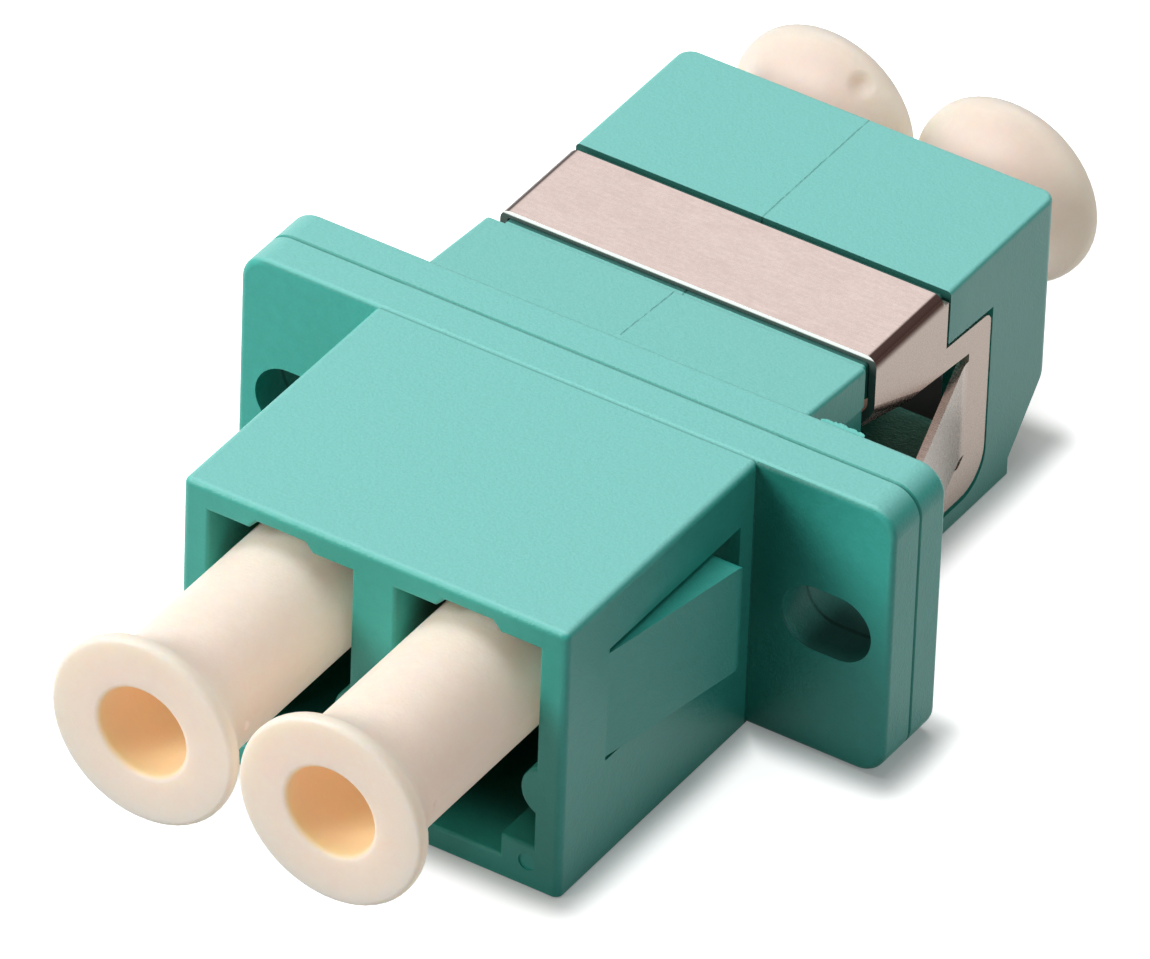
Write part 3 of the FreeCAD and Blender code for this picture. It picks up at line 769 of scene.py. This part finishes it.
def floor_finish():
    """A pale floor with painted shadow near, under and behind the part, clear from below so that
    the underside shows.
    """
    paint = Paint(bpy.data.materials.new("studio_floor"))
    x, y, z = paint.world_place()
    clear = paint.node("ShaderNodeBsdfTransparent")[0]

    # Painted contact shadow: the floor glows less near the part's foot.
    contact_shade = beside(paint, x, y, body_middle_y, body_half, body_half_length)
    contact_shade = contact_shade.most(beside(paint, x, y, seam_y, flange_half, -seam_y))
    # Painted shadow under the body and behind it under the rear caps, only for the camera.
    under = paint.within(x, 0.0, under_shadow_half) * (1 - paint.span(abs(y), *under_shadow_end_y))
    cap_shadow = 1 - paint.span(abs(abs(x) - cap_shadow_x), *cap_shadow_side)
    cap_shadow = cap_shadow * paint.span(y, *cap_shadow_start_y)
    cap_shadow = cap_shadow * (1 - paint.span(y, *cap_shadow_end_y))
    under = under.most(cap_shadow) * paint.read("ShaderNodeLightPath", "Is Camera Ray")
    bright = paint.mix(contact_shade, paint.lit(floor_tone, floor_glow), paint.lit(floor_tone, contact_shade_glow))
    bright = paint.mix(under, bright, paint.lit(under_shadow_tone, 0.0))

    foot = paint.within(x, 0.0, foot_half) * paint.within(y, foot_middle_y, foot_half_length)
    flange_foot = paint.within(x, 0.0, flange_foot_half)
    flange_foot = flange_foot * paint.within(y, seam_y, flange_foot_half_length)
    bounce = paint.mix(foot.most(flange_foot), paint.lit(bounce_tone, 0.0), clear)

    front = paint.mix(paint.seen(), bounce, bright)
    shown = paint.mix(paint.read("ShaderNodeNewGeometry", "Backfacing"), front, clear)
    paint.node("ShaderNodeOutputMaterial", None, {0: shown})
    return paint.owner


floor = plane("studio_floor", (0, 0, base_z - floor_gap), (0, 0, 1), floor_size, floor_size)
floor.data.materials.append(floor_finish())


# Lights and room


def lamp(name, centre, size, watts, tint):
    """A soft square lamp aimed at the middle of the part."""
    data = bpy.data.lights.new(name, "AREA")
    data.shape = "RECTANGLE"
    data.size, data.size_y = size * MM, size * MM
    data.energy = watts
    data.color = tint
    light = bpy.data.objects.new(name, data)
    bpy.context.scene.collection.objects.link(light)
    light.location = Vector(centre) * MM
    light.rotation_mode = "QUATERNION"
    light.rotation_quaternion = (-Vector(centre)).to_track_quat("-Z", "Y")


lamp("key_softbox", centre=(-190, -230, 170), size=150, watts=0.86, tint=(1.0, 0.98, 0.95))
lamp("overhead_softbox", centre=(-60, 40, 330), size=200, watts=0.58, tint=(1.0, 1.0, 1.0))


def room(level, shade):
    """An even room: white to the camera and in reflections, dimmer as light on the part."""
    world = bpy.data.worlds.new("studio_room")
    bpy.context.scene.world = world
    paint = Paint(world)
    pale = paint.node("ShaderNodeBackground", None, {0: white, 1: 1.0})[0]
    dim = paint.node("ShaderNodeBackground", None, {0: shade, 1: level})[0]
    mixed = paint.mix(paint.seen(), dim, pale)
    paint.node("ShaderNodeOutputWorld", None, {0: mixed})


room(level=0.20, shade=rgb(0.92, 1.0, 0.98))


# Camera, at the photograph's viewing angle

azimuth = math.radians(31.350)
elevation = math.radians(36.934)
roll = math.radians(2.211)
distance = 482.453
target = Vector((-1.263, 0.007, -1.029))
focal_pixels = 16877.6
frame_width = 1150
sensor_width = 36.0
nearest = 10
farthest = 10000

back = Vector(
    (
        math.sin(azimuth) * math.cos(elevation),
        -math.cos(azimuth) * math.cos(elevation),
        math.sin(elevation),
    )
)
level_right = Vector((math.cos(azimuth), math.sin(azimuth), 0))
level_up = back.cross(level_right)
right = math.cos(roll) * level_right + math.sin(roll) * level_up
up = math.cos(roll) * level_up - math.sin(roll) * level_right

camera_data = bpy.data.cameras.new("camera")
camera_data.sensor_fit = "HORIZONTAL"
camera_data.sensor_width = sensor_width
camera_data.lens = focal_pixels / frame_width * sensor_width
camera_data.clip_start = nearest * MM
camera_data.clip_end = farthest * MM
camera = bpy.data.objects.new("camera", camera_data)
bpy.context.scene.collection.objects.link(camera)
camera.matrix_world = Matrix(
    (
        (right.x, up.x, back.x, 0),
        (right.y, up.y, back.y, 0),
        (right.z, up.z, back.z, 0),
        (0, 0, 0, 1),
    )
)
camera.location = (target + back * distance) * MM
bpy.context.scene.camera = camera
bpy.context.scene.view_settings.view_transform = "Standard"
